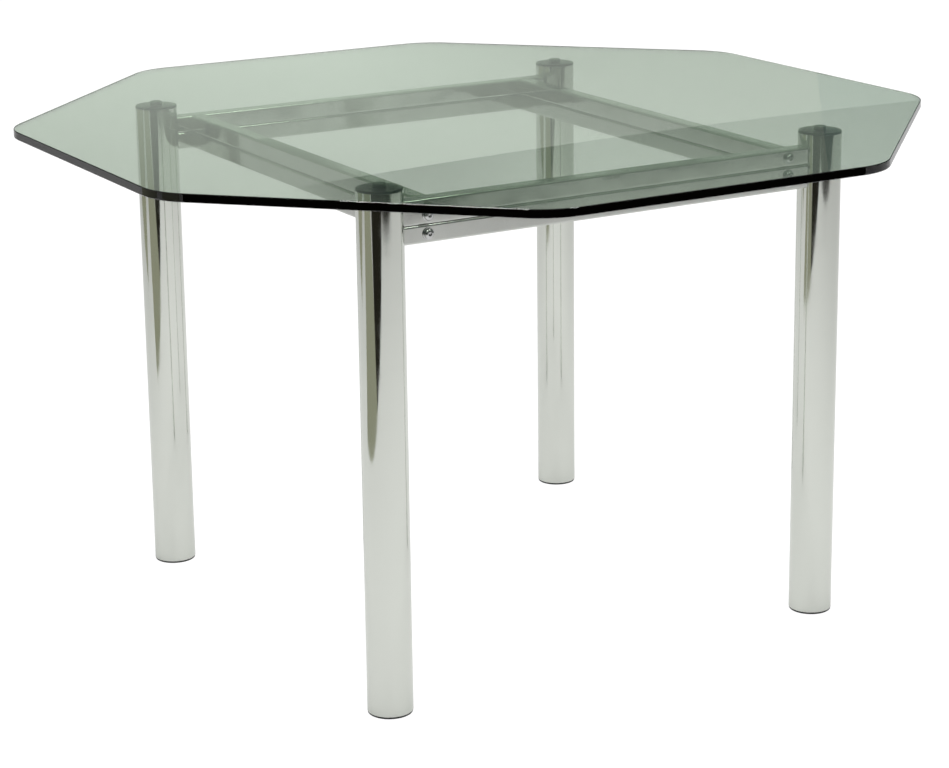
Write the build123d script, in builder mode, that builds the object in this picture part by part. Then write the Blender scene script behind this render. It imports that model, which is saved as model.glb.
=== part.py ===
from build123d import *
import os

# Dining table: a loose octagonal glass top on a frame of chromed steel tube.
# The feet stand on Z = 0 and the middle of the table is on the Z axis. The long rails
# run along X, with a leg welded to each end, and the cross rails run along Y between them.

# ---------------------------------------------------------------- driving dimensions, mm

# Whole table
table_height = 743.0  # floor to the upper face of the glass
leg_pitch_x = 722.0  # leg axis to leg axis, along the long rails
leg_pitch_y = 722.0  # leg axis to leg axis, along the cross rails

# Glass top, a regular octagon with rounded corners
glass_across_flats = 1270.0
glass_thickness = 12.0
glass_corner_radius = 95.0
glass_arris = 1.0  # ground bevel on the upper and the lower rim

# Legs, round tube
leg_diameter = 63.5
leg_wall = 2.0
leg_end_chamfer = 0.4

# Inserts in the leg ends: a cap on top and a glide under the foot
insert_flange_inset = 0.5  # flange edge inside the outer face of the tube
insert_fit = 0.1  # radial clearance of the spigot in the tube
spigot_length = 18.0
spigot_wall = 2.5
spigot_lead_in = 0.8
cap_thickness = 3.0
cap_edge_radius = 1.2
glide_thickness = 3.0
glide_edge_radius = 1.5

# Rubber bumpers that the glass lies on
bumper_diameter = 18.0
bumper_height = 6.0
bumper_edge_radius = 1.2
bumper_stem_diameter = 8.0
bumper_stem_below_cap = 4.0
bumper_stem_fit = 0.1  # radial clearance of the stem in the cap

# Rails, two square tubes one on top of the other
rail_size = 25.0
rail_wall = 1.5
rail_corner_radius = 3.0
rail_drop = 26.5  # underside of the glass to the top of the upper tube
cross_rail_inset = 65.0  # leg axis to cross rail axis, along X
cope_gap = 0.1  # weld gap between the coped rail end and the leg

# Bolted joints, one bolt for each tube end of a cross rail
bolt_diameter = 8.0
bolt_fit = 0.3  # radial clearance of the bolt in the rail and the sleeve
thread_fit = 0.05  # radial clearance of the bolt in the plug, cut as a plain bore
bolt_head_diameter = 14.0
bolt_head_height = 4.4
bolt_head_dome = 3.4
bolt_socket_width = 5.0  # across the flats of the hexagon socket
bolt_socket_depth = 2.6
washer_diameter = 17.0
washer_thickness = 1.6
washer_chamfer = 0.4
sleeve_diameter = 13.0
sleeve_end_gap = 0.1
plug_length = 20.0
plug_fit = 0.1
bolt_end_gap = 2.0  # bolt tip to the inner end of the plug

# ---------------------------------------------------------------- worked out from these

leg_bore = leg_diameter - 2 * leg_wall
leg_x, leg_y = leg_pitch_x / 2, leg_pitch_y / 2
glass_underside = table_height - glass_thickness
cap_top = glass_underside - bumper_height
leg_top = cap_top - cap_thickness
leg_bottom = glide_thickness
spigot_diameter = leg_bore - 2 * insert_fit
flange_diameter = leg_diameter - 2 * insert_flange_inset

rail_bore = rail_size - 2 * rail_wall
rail_bore_radius = rail_corner_radius - rail_wall
upper_rail_z = glass_underside - rail_drop - rail_size / 2
rail_levels = {"upper": upper_rail_z, "lower": upper_rail_z - rail_size}
cross_rail_x = leg_x - cross_rail_inset
cross_rail_length = leg_pitch_y - rail_size
bolt_hole = bolt_diameter + 2 * bolt_fit
bolt_length = washer_thickness + rail_size + plug_length - bolt_end_gap

leg_places = {
    "front_left": (-leg_x, -leg_y),
    "front_right": (leg_x, -leg_y),
    "rear_right": (leg_x, leg_y),
    "rear_left": (-leg_x, leg_y),
}
long_rail_places = {"front": -leg_y, "rear": leg_y}
cross_rail_places = {"left": -cross_rail_x, "right": cross_rail_x}

# Every bolted joint as a plane on the outer face of a long rail, its Z pointing outwards
joint_planes = [
    Plane(origin=(x, side * (leg_y + rail_size / 2), z), x_dir=(1, 0, 0), z_dir=(0, side, 0))
    for side in (-1, 1)
    for x in cross_rail_places.values()
    for z in rail_levels.values()
]


# ---------------------------------------------------------------- the pieces


def glass_top():
    """One sheet of float glass, its corners rounded and both rims ground to a small bevel."""
    with BuildPart() as glass:
        with BuildSketch(Plane.XY.offset(glass_underside)) as outline:
            RegularPolygon(glass_across_flats / 2, 8, major_radius=False, rotation=22.5)
            fillet(outline.vertices(), radius=glass_corner_radius)
        extrude(amount=glass_thickness)
        faces_by_height = glass.faces().sort_by(Axis.Z)
        rims = faces_by_height[0].edges() + faces_by_height[-1].edges()
        chamfer(rims, length=glass_arris)
    return glass.part


def leg_tube(x, y):
    """Round tube from the glide to the cap, its end rims deburred."""
    with BuildPart() as leg:
        with BuildSketch(Plane((x, y, leg_bottom))):
            Circle(leg_diameter / 2)
            Circle(leg_bore / 2, mode=Mode.SUBTRACT)
        extrude(amount=leg_top - leg_bottom)
        outer_rims = leg.edges().filter_by(GeomType.CIRCLE).filter_by(
            lambda rim: rim.radius > (leg_diameter + leg_bore) / 4
        )
        chamfer(outer_rims, length=leg_end_chamfer)
    return leg.part


def tube_insert(seat, flange_thickness, edge_radius, stem_bore=0.0):
    """Moulded insert: a flange on the tube's end and a hollow spigot in its bore.

    The seat is a plane on the end of the tube, its Z pointing out of the tube.
    """
    with BuildPart() as insert:
        with BuildSketch(seat):
            Circle(flange_diameter / 2)
        extrude(amount=flange_thickness)
        outer_face = insert.faces().sort_by(Axis(seat.origin, seat.z_dir))[-1]
        fillet(outer_face.edges(), radius=edge_radius)
        with BuildSketch(seat):
            Circle(spigot_diameter / 2)
        extrude(amount=-spigot_length)
        inner_face = insert.faces().sort_by(Axis(seat.origin, seat.z_dir))[0]
        chamfer(inner_face.edges(), length=spigot_lead_in)
        with BuildSketch(seat.offset(-spigot_length)):
            Circle(spigot_diameter / 2 - spigot_wall)
        extrude(amount=spigot_length, mode=Mode.SUBTRACT)
        if stem_bore:
            with Locations(Location(seat)):
                Hole(stem_bore / 2)
    return insert.part


def leg_cap(x, y):
    """Cap over the top of a leg, with a hole for the bumper's stem."""
    bore = bumper_stem_diameter + 2 * bumper_stem_fit
    return tube_insert(Plane((x, y, leg_top)), cap_thickness, cap_edge_radius, bore)


def foot_glide(x, y):
    """Glide under a leg, facing down."""
    seat = Plane(origin=(x, y, leg_bottom), x_dir=(1, 0, 0), z_dir=(0, 0, -1))
    return tube_insert(seat, glide_thickness, glide_edge_radius)


def glass_bumper(x, y):
    """Rubber pad between a leg cap and the glass, held by a stem in the cap."""
    with BuildPart() as bumper:
        with BuildSketch(Plane((x, y, cap_top))):
            Circle(bumper_diameter / 2)
        extrude(amount=bumper_height)
        fillet(bumper.faces().sort_by(Axis.Z)[-1].edges(), radius=bumper_edge_radius)
        with BuildSketch(Plane((x, y, cap_top))):
            Circle(bumper_stem_diameter / 2)
        extrude(amount=-(cap_thickness + bumper_stem_below_cap))
    return bumper.part


def square_tube(start, length):
    """Square tube with rounded corners. The start plane lies across the tube's end."""
    with BuildPart() as tube:
        with BuildSketch(start):
            RectangleRounded(rail_size, rail_size, rail_corner_radius)
            RectangleRounded(rail_bore, rail_bore, rail_bore_radius, mode=Mode.SUBTRACT)
        extrude(amount=length)
    return tube.part


def long_rail(y, z):
    """Tube between two legs, its ends coped to them and drilled through for the bolts."""
    start = Plane(origin=(-leg_x, y, z), x_dir=(0, 1, 0), z_dir=(1, 0, 0))
    with BuildPart() as rail:
        add(square_tube(start, leg_pitch_x))
        with Locations((-leg_x, y, z), (leg_x, y, z)):
            Cylinder(leg_diameter / 2 + cope_gap, 2 * rail_size, mode=Mode.SUBTRACT)
        with Locations(*[Location((x, y, z), (90, 0, 0)) for x in cross_rail_places.values()]):
            Hole(bolt_hole / 2)
    return rail.part


def cross_rail(x, z):
    """Tube between the two long rails, its square ends against their inner faces."""
    start = Plane(origin=(x, -cross_rail_length / 2, z), x_dir=(1, 0, 0), z_dir=(0, 1, 0))
    return square_tube(start, cross_rail_length)


def rail_bolt():
    """Button-head bolt along Z, with the outer face of the rail at Z = 0."""
    with BuildPart() as bolt:
        with BuildSketch(Plane.XY.offset(washer_thickness)):
            Circle(bolt_head_diameter / 2)
        extrude(amount=bolt_head_height)
        fillet(bolt.faces().sort_by(Axis.Z)[-1].edges(), radius=bolt_head_dome)
        with BuildSketch(Plane.XY.offset(washer_thickness + bolt_head_height)):
            RegularPolygon(bolt_socket_width / 2, 6, major_radius=False)
        extrude(amount=-bolt_socket_depth, mode=Mode.SUBTRACT)
        with BuildSketch(Plane.XY.offset(washer_thickness)):
            Circle(bolt_diameter / 2)
        extrude(amount=-bolt_length)
    return bolt.part


def bolt_washer():
    """Plain washer on the outer face of the rail."""
    with BuildPart() as washer:
        with BuildSketch():
            Circle(washer_diameter / 2)
            Circle(bolt_hole / 2, mode=Mode.SUBTRACT)
        extrude(amount=washer_thickness)
        outer_rim = washer.faces().sort_by(Axis.Z)[-1].outer_wire().edges()
        chamfer(outer_rim, length=washer_chamfer)
    return washer.part


def spacer_sleeve():
    """Sleeve on the bolt inside the long rail, so that the tube isn't crushed."""
    with BuildPart() as sleeve:
        with BuildSketch(Plane.XY.offset(-rail_wall - sleeve_end_gap)):
            Circle(sleeve_diameter / 2)
            Circle(bolt_hole / 2, mode=Mode.SUBTRACT)
        extrude(amount=-(rail_bore - 2 * sleeve_end_gap))
    return sleeve.part


def threaded_plug():
    """Square nut plug welded into the end of a cross rail, level with the tube's end."""
    plug_size = rail_bore - 2 * plug_fit
    with BuildPart() as plug:
        with BuildSketch(Plane.XY.offset(-rail_size)):
            RectangleRounded(plug_size, plug_size, rail_bore_radius)
            Circle(bolt_diameter / 2 + thread_fit, mode=Mode.SUBTRACT)
        extrude(amount=-plug_length)
    return plug.part


def at_every_joint(piece):
    """The same fastener at each bolted joint, as one group of separate solids."""
    with BuildPart() as group:
        with Locations(*[Location(plane) for plane in joint_planes]):
            add(piece)
    return group.part


# ---------------------------------------------------------------- the whole table

pieces = {"glass_top": glass_top()}

for place, (x, y) in leg_places.items():
    pieces[f"leg_{place}"] = leg_tube(x, y)
    pieces[f"leg_cap_{place}"] = leg_cap(x, y)
    pieces[f"glass_bumper_{place}"] = glass_bumper(x, y)
    pieces[f"foot_glide_{place}"] = foot_glide(x, y)

for level, z in rail_levels.items():
    for place, y in long_rail_places.items():
        pieces[f"{place}_rail_{level}"] = long_rail(y, z)
    for place, x in cross_rail_places.items():
        pieces[f"{place}_rail_{level}"] = cross_rail(x, z)

pieces["rail_bolts"] = at_every_joint(rail_bolt())
pieces["bolt_washers"] = at_every_joint(bolt_washer())
pieces["spacer_sleeves"] = at_every_joint(spacer_sleeve())
pieces["threaded_plugs"] = at_every_joint(threaded_plug())

os.makedirs("parts", exist_ok=True)
for name, piece in pieces.items():
    piece.label = name
    export_step(piece, f"parts/{name}.step")
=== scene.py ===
import math

import bmesh
import bpy
from mathutils import Matrix, Vector


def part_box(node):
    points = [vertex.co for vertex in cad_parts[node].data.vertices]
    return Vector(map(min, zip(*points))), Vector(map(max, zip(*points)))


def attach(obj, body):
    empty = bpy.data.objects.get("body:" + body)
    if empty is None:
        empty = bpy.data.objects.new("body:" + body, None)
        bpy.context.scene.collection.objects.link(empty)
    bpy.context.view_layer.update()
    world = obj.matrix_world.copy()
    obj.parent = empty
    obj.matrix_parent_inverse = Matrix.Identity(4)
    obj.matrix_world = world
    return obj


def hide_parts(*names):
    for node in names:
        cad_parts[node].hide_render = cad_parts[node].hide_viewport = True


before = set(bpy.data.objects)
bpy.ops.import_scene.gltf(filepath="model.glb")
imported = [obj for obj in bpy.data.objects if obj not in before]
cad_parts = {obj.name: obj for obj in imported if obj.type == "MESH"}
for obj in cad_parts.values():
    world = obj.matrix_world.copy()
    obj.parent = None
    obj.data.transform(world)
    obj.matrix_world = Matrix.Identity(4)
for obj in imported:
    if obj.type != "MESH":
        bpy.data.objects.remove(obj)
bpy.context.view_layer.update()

# Dining table: a loose octagonal glass top on a frame of chromed steel tube.
# The CAD rails, sleeves and plugs keep their shape and get a finish. The glass, the legs,
# their inserts, the bumpers and the fasteners are modelled again here with finer rims.

MM = 0.001  # every length below is in metres

# ---------------------------------------------------------------- sizes

PLACES = ("front_left", "front_right", "rear_right", "rear_left")
LEVELS = ("upper", "lower")

# Glass top, a regular octagon
glass_sides = 8
glass_corner_radius = 95 * MM
glass_arris = 1 * MM  # polished bevel on both rims

# Legs and what is pushed into their ends
leg_diameter = 63.5 * MM
leg_wall = 2 * MM
leg_rim_round = 0.4 * MM
insert_flange_inset = 0.5 * MM
insert_fit = 0.1 * MM
insert_spigot_wall = 2.5 * MM
insert_lead_in = 0.8 * MM
insert_thickness = 3 * MM
cap_edge_round = 1.2 * MM
glide_edge_round = 1.5 * MM
bumper_diameter = 18 * MM
bumper_edge_round = 1.2 * MM
bumper_stem_diameter = 8 * MM
bumper_stem_fit = 0.1 * MM
bumper_shy_of_glass = 0.03 * MM  # keeps the two touching faces apart for the renderer

# Fasteners
bolt_diameter = 8 * MM
bolt_fit = 0.3 * MM
bolt_length = 44.6 * MM
bolt_tip_chamfer = 0.8 * MM
bolt_head_diameter = 14 * MM
bolt_head_height = 4.4 * MM
bolt_head_dome = 3.4 * MM
bolt_socket_width = 5 * MM
bolt_socket_depth = 2.6 * MM
bolt_socket_cone = 0.8 * MM
washer_diameter = 17 * MM
washer_thickness = 1.6 * MM
washer_edge_round = 0.4 * MM

# Finishes
float_glass_ior = 1.52
glass_tint_density = 12.0  # of the absorption, per metre
glass_smear_size = 40 * MM
glass_smear_roughness = 0.012
mark_spacing = 3 * MM
mark_depth = 0.1 * MM
smudge_size = 50 * MM
swell_size = 70 * MM
plastic_ior = 1.5
scuff_size = 9 * MM
scuff_contrast = 0.06  # in roughness, either way
grain_depth = 0.05 * MM
# Marks are drawn out lengthwise to 1 / 0.03 of their spacing, some 100 mm
drawn_out = 0.03
along_x, along_y, along_z = (drawn_out, 1, 1), (1, drawn_out, 1), (1, 1, drawn_out)
every_way = (1, 1, 1)

# How finely round shapes are cut
glass_corner_steps = 24
leg_steps = 192
insert_steps = 128
fastener_steps = 48
round_steps = 4
dome_steps = 8
merge_distance = 0.001 * MM  # of points that a full turn lays on one another
same_place = 0.01 * MM
crease_angle = math.radians(32)  # edges sharper than this stay crisp


# ---------------------------------------------------------------- making pieces


def middle(node):
    """The middle of a CAD node's box."""
    low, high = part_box(node)
    return (low + high) / 2


def drawn(bm, points, closed=False):
    """A line of edges through the (radius, height) points, beside the Z axis."""
    verts = [bm.verts.new((radius, 0, height)) for radius, height in points]
    ends = zip(verts, verts[1:] + verts[:1] if closed else verts[1:])
    for start, end in ends:
        bm.edges.new((start, end))
    return verts


def rounded(bm, verts, radius, steps=round_steps):
    """Rounds corners of a drawn line."""
    bmesh.ops.bevel(
        bm, geom=verts, offset=radius, segments=steps, profile=0.5, affect="VERTICES", material=-1
    )


def spun(bm, steps):
    """Turns the drawn line round the Z axis into a closed shape."""
    line = bm.verts[:] + bm.edges[:]
    bmesh.ops.spin(
        bm, geom=line, cent=(0, 0, 0), axis=(0, 0, 1), angle=math.tau, steps=steps, use_merge=True
    )
    bmesh.ops.remove_doubles(bm, verts=bm.verts, dist=merge_distance)
    bmesh.ops.recalc_face_normals(bm, faces=bm.faces)


def copies(bm, places):
    """The shape in bm at each of the places, as one bmesh of separate shells."""
    single = bpy.data.meshes.new("single")
    bm.to_mesh(single)
    bm.free()
    group = bmesh.new()
    for place in places:
        first = len(group.verts)
        group.from_mesh(single)
        group.verts.ensure_lookup_table()
        bmesh.ops.transform(group, matrix=place, verts=group.verts[first:])
    bpy.data.meshes.remove(single)
    return group


def piece_from(bm, name, body, node, material):
    """Makes the shape a piece that rides on its body and stands for its CAD node."""
    mesh = bpy.data.meshes.new(name)
    bm.to_mesh(mesh)
    bm.free()
    mesh.shade_smooth()
    mesh.set_sharp_from_angle(angle=crease_angle)
    mesh.materials.append(material)
    piece = bpy.data.objects.new(name, mesh)
    bpy.context.scene.collection.objects.link(piece)
    # Flat and straight faces keep their own normals, and only the small roundings shade across
    even = piece.modifiers.new("even_shading", "WEIGHTED_NORMAL")
    even.keep_sharp = True
    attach(piece, body)
    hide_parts(node)
    return piece


# ---------------------------------------------------------------- shapes


def octagon_glass(low, high):
    """A sheet of glass with round corners, both rims bevelled."""
    half_width = (high.x - low.x) / 2
    half_turn = math.pi / glass_sides
    corner_reach = (half_width - glass_corner_radius) / math.cos(half_turn)
    bm = bmesh.new()
    arcs = []
    for corner in range(glass_sides):
        towards = (2 * corner + 1) * half_turn
        pivot = Vector((math.cos(towards), math.sin(towards), 0)) * corner_reach
        pivot.z = low.z
        start_angle = towards - half_turn
        reach = Vector((math.cos(start_angle), math.sin(start_angle), 0)) * glass_corner_radius
        start = bm.verts.new(pivot + reach)
        turned = bmesh.ops.spin(
            bm, geom=[start], cent=pivot, axis=(0, 0, 1), angle=2 * half_turn, steps=glass_corner_steps
        )
        end = next(part for part in turned["geom_last"] if isinstance(part, bmesh.types.BMVert))
        arcs.append((start, end))
    for (_, end), (start, _) in zip(arcs, arcs[1:] + arcs[:1]):
        bm.edges.new((end, start))
    bmesh.ops.contextual_create(bm, geom=bm.edges[:])
    lifted = bmesh.ops.extrude_face_region(bm, geom=bm.faces[:])["geom"]
    upper = [part for part in lifted if isinstance(part, bmesh.types.BMVert)]
    bmesh.ops.translate(bm, verts=upper, vec=(0, 0, high.z - low.z))
    rims = [edge for edge in bm.edges if abs(edge.verts[0].co.z - edge.verts[1].co.z) < same_place]
    bmesh.ops.bevel(
        bm, geom=rims, offset=glass_arris, segments=1, profile=0.5, affect="EDGES", material=-1
    )
    bmesh.ops.recalc_face_normals(bm, faces=bm.faces)
    return bm


def leg_tube(bottom, top):
    """A round tube with a wall, its outer rims deburred."""
    outer, inner = leg_diameter / 2, leg_diameter / 2 - leg_wall
    bm = bmesh.new()
    corners = drawn(bm, [(outer, bottom), (outer, top), (inner, top), (inner, bottom)], closed=True)
    rounded(bm, corners[:2], leg_rim_round, steps=2)
    spun(bm, leg_steps)
    return bm


def tube_insert(seat, rim, spigot_end, edge_round, bore=0.0):
    """A flange from the seat to the rim height, with a hollow spigot down the tube."""
    flange = leg_diameter / 2 - insert_flange_inset
    spigot = leg_diameter / 2 - leg_wall - insert_fit
    hollow = spigot - insert_spigot_wall
    bm = bmesh.new()
    outline = [
        (bore, rim),
        (flange, rim),
        (flange, seat),
        (spigot, seat),
        (spigot, spigot_end),
        (hollow, spigot_end),
        (hollow, seat),
        (bore, seat),
    ]
    corners = drawn(bm, outline, closed=bore > 0)
    rounded(bm, corners[1:2], edge_round)
    rounded(bm, [vert for vert in bm.verts if near(vert, spigot, spigot_end)], insert_lead_in, steps=1)
    spun(bm, insert_steps)
    return bm


def near(vert, radius, height):
    """Whether a drawn vertex stands at that radius and height."""
    return abs(vert.co.x - radius) < same_place and abs(vert.co.z - height) < same_place


def glass_bumper(stem_end, cap_top, top):
    """A round pad with its stem."""
    pad, stem = bumper_diameter / 2, bumper_stem_diameter / 2
    bm = bmesh.new()
    outline = [(0, top), (pad, top), (pad, cap_top), (stem, cap_top), (stem, stem_end), (0, stem_end)]
    corners = drawn(bm, outline)
    rounded(bm, corners[1:2], bumper_edge_round)
    spun(bm, insert_steps)
    return bm


def button_bolt():
    """A domed bolt along Z with a hexagon socket. The washer lies on Z = 0."""
    head, shank = bolt_head_diameter / 2, bolt_diameter / 2
    seat = washer_thickness
    crown = seat + bolt_head_height
    tip = seat - bolt_length
    flat = head - bolt_head_dome
    bm = bmesh.new()
    outline = [(flat, crown), (head, crown), (head, seat), (shank, seat), (shank, tip), (0, tip)]
    corners = drawn(bm, outline)
    rounded(bm, corners[1:2], bolt_head_dome, steps=dome_steps)
    rounded(bm, [vert for vert in bm.verts if near(vert, shank, tip)], bolt_tip_chamfer, steps=1)
    spun(bm, fastener_steps)
    rim = [edge for edge in bm.edges if edge.is_boundary]

    across_corners = bolt_socket_width / math.cos(math.pi / 6)
    hexagon = bmesh.ops.create_circle(
        bm, segments=6, radius=across_corners / 2, matrix=Matrix.Translation((0, 0, crown))
    )["verts"]
    sides = list({edge for vert in hexagon for edge in vert.link_edges})
    divided = bmesh.ops.subdivide_edges(bm, edges=sides, cuts=fastener_steps // 6 - 1)
    mouth = [part for part in divided["geom"] if isinstance(part, bmesh.types.BMEdge)]
    bmesh.ops.bridge_loops(bm, edges=rim + mouth)
    sunk = bmesh.ops.extrude_edge_only(bm, edges=mouth)["geom"]
    floor_verts = [part for part in sunk if isinstance(part, bmesh.types.BMVert)]
    floor_edges = [part for part in sunk if isinstance(part, bmesh.types.BMEdge)]
    bmesh.ops.translate(bm, verts=floor_verts, vec=(0, 0, -bolt_socket_depth))
    cone = bmesh.ops.extrude_edge_only(bm, edges=floor_edges)["geom"]
    cone_verts = [part for part in cone if isinstance(part, bmesh.types.BMVert)]
    bmesh.ops.pointmerge(
        bm, verts=cone_verts, merge_co=(0, 0, crown - bolt_socket_depth - bolt_socket_cone)
    )
    bmesh.ops.recalc_face_normals(bm, faces=bm.faces)
    return bm


def flat_washer():
    """A plain washer on Z = 0."""
    outer, inner = washer_diameter / 2, bolt_diameter / 2 + bolt_fit
    bm = bmesh.new()
    outline = [(outer, 0), (outer, washer_thickness), (inner, washer_thickness), (inner, 0)]
    corners = drawn(bm, outline, closed=True)
    rounded(bm, corners[1:2], washer_edge_round, steps=3)
    spun(bm, fastener_steps)
    return bm


# ---------------------------------------------------------------- finishes


def colour(hex_code):
    """An sRGB colour such as c8c8c8 as linear values."""
    parts = [int(hex_code[i:i + 2], 16) / 255 for i in (0, 2, 4)]
    linear = [c / 12.92 if c <= 0.04045 else ((c + 0.055) / 1.055) ** 2.4 for c in parts]
    return (*linear, 1.0)


# The colour sockets of a Mix node go by number, because three kinds of socket share their names
FIRST_COLOUR, SECOND_COLOUR, MIXED_COLOUR = 6, 7, 2


def add(tree, kind, inputs=None, **settings):
    """Adds a node. An input is a value for the socket, or the socket that it is linked from."""
    made = tree.nodes.new(kind)
    for name, value in settings.items():
        setattr(made, name, value)
    for socket, value in (inputs or {}).items():
        if isinstance(value, bpy.types.NodeSocket):
            tree.links.new(value, made.inputs[socket])
        else:
            made.inputs[socket].default_value = value
    return made


def new_finish(name):
    """An empty material, its node tree and its output node."""
    material = bpy.data.materials.new(name)
    material.use_nodes = True
    tree = material.node_tree
    tree.nodes.clear()
    return material, tree, add(tree, "ShaderNodeOutputMaterial")


def clear_float_glass():
    """Clear float glass: faintly green through the sheet, dark green at the polished edge."""
    material, tree, output = new_finish("clear_float_glass")
    place = add(tree, "ShaderNodeTexCoord")
    # Wiped smears are the only thing that breaks the polish
    smears = add(
        tree, "ShaderNodeTexNoise",
        {"Vector": place.outputs["Object"], "Scale": 1 / glass_smear_size,
         "Detail": 4.0, "Roughness": 0.6},
    )
    roughness = add(
        tree, "ShaderNodeMapRange",
        {"Value": smears.outputs["Fac"], "From Min": 0.45, "From Max": 0.8,
         "To Min": 0.0, "To Max": glass_smear_roughness},
    )
    glass = add(
        tree, "ShaderNodeBsdfPrincipled",
        {"Base Color": (1, 1, 1, 1), "Roughness": roughness.outputs["Result"], "IOR": float_glass_ior,
         "Transmission Weight": 1.0},
    )
    tint = add(
        tree, "ShaderNodeVolumeAbsorption", {"Color": colour("91f380"), "Density": glass_tint_density}
    )
    tree.links.new(glass.outputs["BSDF"], output.inputs["Surface"])
    tree.links.new(tint.outputs["Volume"], output.inputs["Volume"])
    return material


def metal_finish(name, tone, polish, stretch, waviness):
    """Metal with faint machining or polishing marks, a low and a high roughness, and a wavy face."""
    smoothest, roughest = polish
    material, tree, output = new_finish(name)
    place = add(tree, "ShaderNodeTexCoord")
    along = add(
        tree, "ShaderNodeMapping", {"Vector": place.outputs["Object"], "Scale": stretch}
    )
    # Marks drawn 3 mm apart across the tube, because the real grit is too fine to show
    marks = add(
        tree, "ShaderNodeTexNoise",
        {"Vector": along.outputs["Vector"], "Scale": 1 / mark_spacing, "Detail": 3.0},
    )
    # Handling smudges dull the mirror a little
    smudges = add(
        tree, "ShaderNodeTexNoise",
        {"Vector": place.outputs["Object"], "Scale": 1 / smudge_size, "Detail": 5.0, "Roughness": 0.6},
    )
    roughness = add(
        tree, "ShaderNodeMapRange",
        {"Value": smudges.outputs["Fac"], "From Min": 0.35, "From Max": 0.7,
         "To Min": smoothest, "To Max": roughest},
    )
    # A thin wall isn't dead straight, so what it mirrors wanders
    swell = add(
        tree, "ShaderNodeTexNoise",
        {"Vector": place.outputs["Object"], "Scale": 1 / swell_size, "Detail": 1.0},
    )
    wavy = add(
        tree, "ShaderNodeBump", {"Height": swell.outputs["Fac"], "Strength": 1.0, "Distance": waviness}
    )
    relief = add(
        tree, "ShaderNodeBump",
        {"Height": marks.outputs["Fac"], "Strength": 0.05, "Distance": mark_depth,
         "Normal": wavy.outputs["Normal"]},
    )
    metal = add(
        tree, "ShaderNodeBsdfPrincipled",
        {"Base Color": colour(tone), "Metallic": 1.0, "Roughness": roughness.outputs["Result"],
         "Normal": relief.outputs["Normal"]},
    )
    tree.links.new(metal.outputs["BSDF"], output.inputs["Surface"])
    return material


def moulded_plastic(name, dark, light, grain, roughness):
    """Moulded plastic or rubber: a fine even grain and slightly uneven colour."""
    material, tree, output = new_finish(name)
    place = add(tree, "ShaderNodeTexCoord")
    texture = add(
        tree, "ShaderNodeTexNoise",
        {"Vector": place.outputs["Object"], "Scale": 1 / grain, "Detail": 2.0},
    )
    scuffs = add(
        tree, "ShaderNodeTexNoise",
        {"Vector": place.outputs["Object"], "Scale": 1 / scuff_size, "Detail": 4.0},
    )
    tint = add(
        tree, "ShaderNodeMix",
        {"Factor": scuffs.outputs["Fac"], FIRST_COLOUR: colour(dark), SECOND_COLOUR: colour(light)},
        data_type="RGBA",
    )
    gloss = add(
        tree, "ShaderNodeMapRange",
        {"Value": scuffs.outputs["Fac"], "From Min": 0.3, "From Max": 0.7,
         "To Min": roughness - scuff_contrast, "To Max": roughness + scuff_contrast},
    )
    relief = add(
        tree, "ShaderNodeBump",
        {"Height": texture.outputs["Fac"], "Strength": 0.25, "Distance": grain_depth},
    )
    plastic = add(
        tree, "ShaderNodeBsdfPrincipled",
        {"Base Color": tint.outputs[MIXED_COLOUR], "Roughness": gloss.outputs["Result"],
         "IOR": plastic_ior, "Normal": relief.outputs["Normal"]},
    )
    tree.links.new(plastic.outputs["BSDF"], output.inputs["Surface"])
    return material


glass_finish = clear_float_glass()
# Bright chrome on drawn round tube: a near mirror, with marks that run up the leg
leg_finish = metal_finish("chrome_plated_leg_tube", "d8dbd4", (0.05, 0.11), along_z, 0.15 * MM)
# Bright chrome on square tube: the flat walls wave more, and the marks run along each rail. Its tone is
# darker than the legs' although the plating is the same: painted shade that makes the rails come out
# darker.
rail_polish, rail_waviness = (0.06, 0.12), 0.8 * MM
long_rail_painted_shade_finish = metal_finish(
    "chrome_long_rail_painted_shade", "c6c8c3", rail_polish, along_x, rail_waviness
)
cross_rail_painted_shade_finish = metal_finish(
    "chrome_cross_rail_painted_shade", "c6c8c3", rail_polish, along_y, rail_waviness
)
# Bright chrome on turned steel: a slightly softer shine than on the polished tube
fastener_finish = metal_finish(
    "chrome_plated_fastener", "c9cac9", (0.08, 0.16), every_way, 0.02 * MM
)
# Bare turned and cut steel, grey and dull, out of sight in the rails
plain_steel_finish = metal_finish("plain_turned_steel", "a3a6a6", (0.3, 0.45), every_way, 0.05 * MM)
# Injection-moulded nylon or similar: near black, with a satin shine on the caps
cap_finish = moulded_plastic("black_moulded_cap", "0a0b0a", "151615", 0.6 * MM, 0.32)
# The same kind of plastic, duller and a little paler than the caps
glide_finish = moulded_plastic("black_moulded_glide", "0d0d0d", "1c1c1b", 0.8 * MM, 0.5)
# Soft moulded rubber: dark grey and matt
bumper_finish = moulded_plastic("dark_rubber_bumper", "1d211e", "343a35", 0.5 * MM, 0.55)

# ---------------------------------------------------------------- the table

glass_low, glass_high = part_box("glass_top")
glass_shape = octagon_glass(glass_low, glass_high)
glass = piece_from(glass_shape, "polished_glass", "top", "glass_top", glass_finish)

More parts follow.
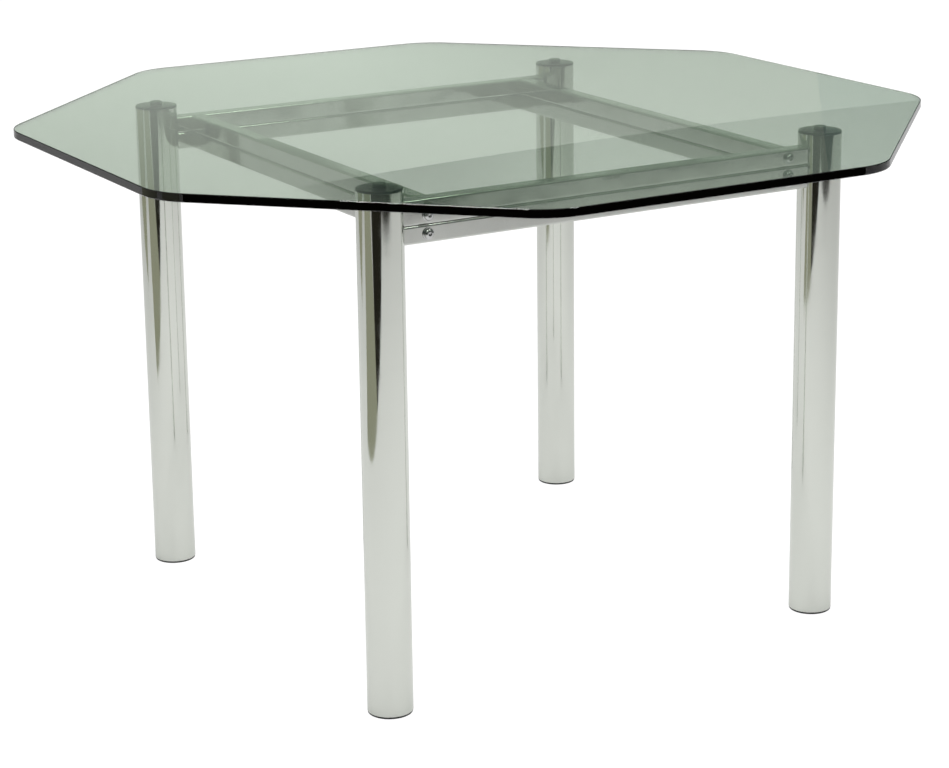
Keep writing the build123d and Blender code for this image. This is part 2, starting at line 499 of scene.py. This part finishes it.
for place in PLACES:
    at_leg = middle(f"leg_{place}")
    at_leg.z = 0
    cap_low, cap_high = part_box(f"leg_cap_{place}")
    glide_low, glide_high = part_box(f"foot_glide_{place}")
    stem_low, bumper_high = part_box(f"glass_bumper_{place}")
    tube_bottom = glide_low.z + insert_thickness
    tube_top = cap_high.z - insert_thickness
    stem_bore = bumper_stem_diameter / 2 + bumper_stem_fit
    bumper_top = bumper_high.z - bumper_shy_of_glass
    shapes = {
        "leg": (leg_tube(tube_bottom, tube_top), "chrome_tube", leg_finish),
        "leg_cap": (
            tube_insert(tube_top, cap_high.z, cap_low.z, cap_edge_round, stem_bore),
            "black_plastic",
            cap_finish,
        ),
        "foot_glide": (
            tube_insert(tube_bottom, glide_low.z, glide_high.z, glide_edge_round),
            "black_plastic",
            glide_finish,
        ),
        "glass_bumper": (glass_bumper(stem_low.z, cap_high.z, bumper_top), "black_rubber", bumper_finish),
    }
    for part, (shape, slot, finish) in shapes.items():
        bmesh.ops.translate(shape, verts=shape.verts, vec=at_leg)
        piece_from(shape, f"{part}_round_{place}", "base", f"{part}_{place}", finish)

# Each bolt goes into the end of a cross rail, from the outer face of the long rail there
outer_faces = ((-1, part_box("front_rail_upper")[0].y), (1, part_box("rear_rail_upper")[1].y))
joint_places = []
for outwards, face in outer_faces:
    turned_outwards = Matrix.Rotation(-outwards * math.pi / 2, 4, "X")
    for side in ("left", "right"):
        for level in LEVELS:
            tube_end = middle(f"{side}_rail_{level}")
            tube_end.y = face
            joint_places.append(Matrix.Translation(tube_end) @ turned_outwards)
fasteners = (
    (button_bolt(), "button_bolts", "rail_bolts"),
    (flat_washer(), "flat_washers", "bolt_washers"),
)
for shape, name, node in fasteners:
    piece_from(copies(shape, joint_places), name, "base", node, fastener_finish)

for level in LEVELS:
    for side in ("front", "rear"):
        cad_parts[f"{side}_rail_{level}"].material_slots[0].material = long_rail_painted_shade_finish
    for side in ("left", "right"):
        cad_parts[f"{side}_rail_{level}"].material_slots[0].material = cross_rail_painted_shade_finish
for hidden in ("spacer_sleeves", "threaded_plugs"):
    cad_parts[hidden].material_slots[0].material = plain_steel_finish

# ---------------------------------------------------------------- floor and light

scene = bpy.context.scene
scene.view_settings.view_transform = "Standard"

floor_radius = 16.0
floor_drop = 0.2 * MM  # keeps the glides' undersides and the floor apart for the renderer
floor_glow_strength = 1.2
floor_glow_share = 0.75
grey_floor_height = 2 * MM
dark_floor_height = 4 * MM
panel_height = 3.8
second_mirroring = 1.5  # a glossy depth above the first mirroring and below the second
softbox_size = 3.0


def staged(bm, name, material):
    """Makes the shape a sheet that isn't part of the table."""
    mesh = bpy.data.meshes.new(name)
    bm.to_mesh(mesh)
    bm.free()
    mesh.materials.append(material)
    sheet = bpy.data.objects.new(name, mesh)
    scene.collection.objects.link(sheet)
    return sheet


def covered(tree, base, layers):
    """A base colour with each layer's colour laid over it, as far as the layer's mask is 1."""
    for mask, over in layers:
        laid = add(
            tree, "ShaderNodeMix",
            {"Factor": mask, FIRST_COLOUR: base, SECOND_COLOUR: over}, data_type="RGBA",
        )
        base = laid.outputs[MIXED_COLOUR]
    return base


def white_floor():
    """Matt white studio floor, bright enough to the eye that it meets the white backdrop."""
    material, tree, output = new_finish("matt_white_floor")
    path = add(tree, "ShaderNodeLightPath")
    paint = add(tree, "ShaderNodeBsdfDiffuse", {"Color": (0.8, 0.8, 0.8, 1)})
    glow = add(tree, "ShaderNodeEmission", {"Color": (1, 1, 1, 1), "Strength": floor_glow_strength})
    share = add(
        tree, "ShaderNodeMath",
        {0: path.outputs["Is Camera Ray"], 1: floor_glow_share}, operation="MULTIPLY",
    )
    mixed = add(
        tree, "ShaderNodeMixShader", {0: share.outputs[0], 1: paint.outputs[0], 2: glow.outputs[0]}
    )
    tree.links.new(mixed.outputs[0], output.inputs["Surface"])
    return material


def card_face(name, tone, strength):
    """A plain sheet of one brightness. Mirrored twice over it is mid grey, to soften the dark
    patches where two polished rails face each other."""
    material, tree, output = new_finish(name)
    path = add(tree, "ShaderNodeLightPath")
    again = add(
        tree, "ShaderNodeMath",
        {0: path.outputs["Glossy Depth"], 1: second_mirroring}, operation="GREATER_THAN",
    )
    seen = covered(tree, colour(tone), [(again.outputs[0], colour("8c8c86"))])
    glow = add(tree, "ShaderNodeEmission", {"Color": seen, "Strength": strength})
    tree.links.new(glow.outputs[0], output.inputs["Surface"])
    return material


def card(name, corners, tone, strength=1.0, in_glass=False):
    """A flat sheet that only reflections show, and if told so, light bent through the glass."""
    bm = bmesh.new()
    bmesh.ops.contextual_create(bm, geom=[bm.verts.new(corner) for corner in corners])
    sheet = staged(bm, name, card_face(name, tone, strength))
    sheet.visible_transmission = in_glass
    for kind in ("camera", "diffuse", "volume_scatter", "shadow"):
        setattr(sheet, f"visible_{kind}", False)


def lying_level(points, height):
    """The corners of a sheet that lies level, that far above the floor."""
    return [(x, y, height) for x, y in points]


floor_disc = bmesh.new()
bmesh.ops.create_circle(floor_disc, cap_ends=True, segments=96, radius=floor_radius)
bmesh.ops.translate(floor_disc, verts=floor_disc.verts, vec=(0, 0, -floor_drop))
staged(floor_disc, "studio_floor", white_floor())

# In reflections the white floor ends on the left, where it is grey, and in front, where it is dark
grey_left = [(-1.45, 0.25), (-1.62, -1.3), (-9.0, -1.3), (-9.0, 1.2)]
grey_back_left = [(-2.0, 1.2), (-9.0, 1.2), (-9.0, 9.0), (-2.0, 9.0)]
dark_front_left = [(-1.62, -1.1), (-1.45, -3.2), (-1.45, -9.0), (-9.0, -9.0), (-9.0, -3.0)]
dark_front = [(-1.45, -3.3), (-1.45, -9.0), (9.0, -9.0), (9.0, -3.3)]
card("grey_floor_left", lying_level(grey_left, grey_floor_height), "9a9b88")
card("grey_floor_back_left", lying_level(grey_back_left, grey_floor_height), "9a9b88")
card("dark_floor_front_left", lying_level(dark_front_left, dark_floor_height), "26241e")
card("dark_floor_front", lying_level(dark_front, dark_floor_height), "26241e")

# Two light panels overhead: one draws the bright line on the near bevel, the other on the near
# tube edges
panel_left = [(-1.65, -1.0), (-1.1, -1.0), (-1.1, 0.0), (-1.65, 0.0)]
panel_right = [(0.9, -2.4), (1.55, -2.4), (1.55, -0.4), (0.9, -0.4)]
card("light_panel_left", lying_level(panel_left, panel_height), "ffffff", strength=8.0, in_glass=True)
card("light_panel_right", lying_level(panel_right, panel_height), "ffffff", strength=5.0, in_glass=True)


def softbox(name, at, power):
    """A square soft light that shines straight down and isn't mirrored in the metal or the glass."""
    light = bpy.data.lights.new(name, "AREA")
    light.shape = "SQUARE"
    light.size = softbox_size
    light.energy = power
    lamp = bpy.data.objects.new(name, light)
    lamp.location = at
    lamp.rotation_mode = "QUATERNION"
    lamp.rotation_quaternion = Vector((0, 0, -1)).to_track_quat("-Z", "Y")
    lamp.visible_glossy = False
    lamp.visible_transmission = False
    lamp.visible_camera = False
    scene.collection.objects.link(lamp)


softbox("overhead_softbox", at=(-0.2, -0.6, 3.3), power=84)
softbox("backdrop_softbox", at=(2.6, 4.3, 3.2), power=56)

# World: white to the camera, and even on everything matt. What metal and glass mirror is a pale
# backdrop behind the table with a sloping upper edge, a darker room above it and all round, and
# a pale ceiling. The backdrop darkens upwards, and both change tone towards the right.
world = bpy.data.worlds.new("studio")
world.use_nodes = True
scene.world = world
tree = world.node_tree
tree.nodes.clear()
direction = add(tree, "ShaderNodeTexCoord")
axes = add(tree, "ShaderNodeSeparateXYZ", {0: direction.outputs["Generated"]})
rightwards, backwards, upwards = axes.outputs

# Where each part of the surroundings begins and is complete, along one axis of the direction
spans = {
    "backdrop_darker": (upwards, 0.16, 0.215),
    "backdrop_right": (rightwards, 0.45, 0.53),
    "room_darker": (rightwards, 0.43, 0.465),
    "room_right": (rightwards, 0.48, 0.53),
    "in_front": (backwards, 0.1, -0.1),
    "ceiling": (upwards, 0.5, 0.82),
}
masks = {}
for part, (axis, begins, complete) in spans.items():
    ramp = add(
        tree, "ShaderNodeMapRange", {"Value": axis, "From Min": begins, "From Max": complete}
    )
    masks[part] = ramp.outputs["Result"]

# The backdrop's upper edge falls towards the right, and a side wall begins at its end
edge_slope, edge_height, side_wall_start = 0.16, 0.2765, 0.6055
sloped = add(
    tree, "ShaderNodeMath", {0: rightwards, 1: edge_slope, 2: upwards}, operation="MULTIPLY_ADD"
)
over_edge = add(
    tree, "ShaderNodeMath", {0: sloped.outputs[0], 1: edge_height}, operation="GREATER_THAN"
)
side_wall = add(
    tree, "ShaderNodeMath", {0: rightwards, 1: side_wall_start}, operation="GREATER_THAN"
)

backdrop = covered(tree, colour("bcc0bc"), [
    (masks["backdrop_darker"], colour("8e918e")),
    (masks["backdrop_right"], colour("9fa29f")),
    (side_wall.outputs[0], colour("8c9492")),
])
room = covered(tree, colour("8e918e"), [
    (masks["room_darker"], colour("27342f")),
    (masks["room_right"], colour("737a75")),
    (side_wall.outputs[0], colour("626c6a")),
])
path = add(tree, "ShaderNodeLightPath")
shown = covered(tree, backdrop, [
    (over_edge.outputs[0], room),
    (masks["in_front"], colour("27342f")),
    (masks["ceiling"], colour("bcbcbc")),
    (path.outputs["Is Diffuse Ray"], colour("c4c4c4")),
    (path.outputs["Is Camera Ray"], colour("ffffff")),
])
sky = add(tree, "ShaderNodeBackground", {"Color": shown, "Strength": 1.0})
add(tree, "ShaderNodeOutputWorld", {"Surface": sky.outputs[0]})

# The glass lets the soft light through to the floor
glass.visible_shadow = False
glass.visible_diffuse = False

# ---------------------------------------------------------------- camera

camera_place = Vector((-1.909, -3.270, 1.4361))
camera_azimuth = math.radians(-31.407)
camera_elevation = math.radians(14.475)
camera_roll = math.radians(-0.402)

camera_sensor = 36  # mm wide
camera_focal_length = 97.789  # mm
camera_shift = (-0.0577, -0.0927)

lens = bpy.data.cameras.new("camera")
lens.sensor_width = camera_sensor
lens.lens = camera_focal_length
lens.shift_x, lens.shift_y = camera_shift
camera = bpy.data.objects.new("camera", lens)
away = Vector((
    math.sin(camera_azimuth) * math.cos(camera_elevation),
    -math.cos(camera_azimuth) * math.cos(camera_elevation),
    math.sin(camera_elevation),
))
camera.location = camera_place
camera.rotation_mode = "QUATERNION"
upright = (-away).to_track_quat("-Z", "Y").to_matrix()
camera.rotation_quaternion = (upright @ Matrix.Rotation(camera_roll, 3, "Z")).to_quaternion()
scene.collection.objects.link(camera)
scene.camera = camera
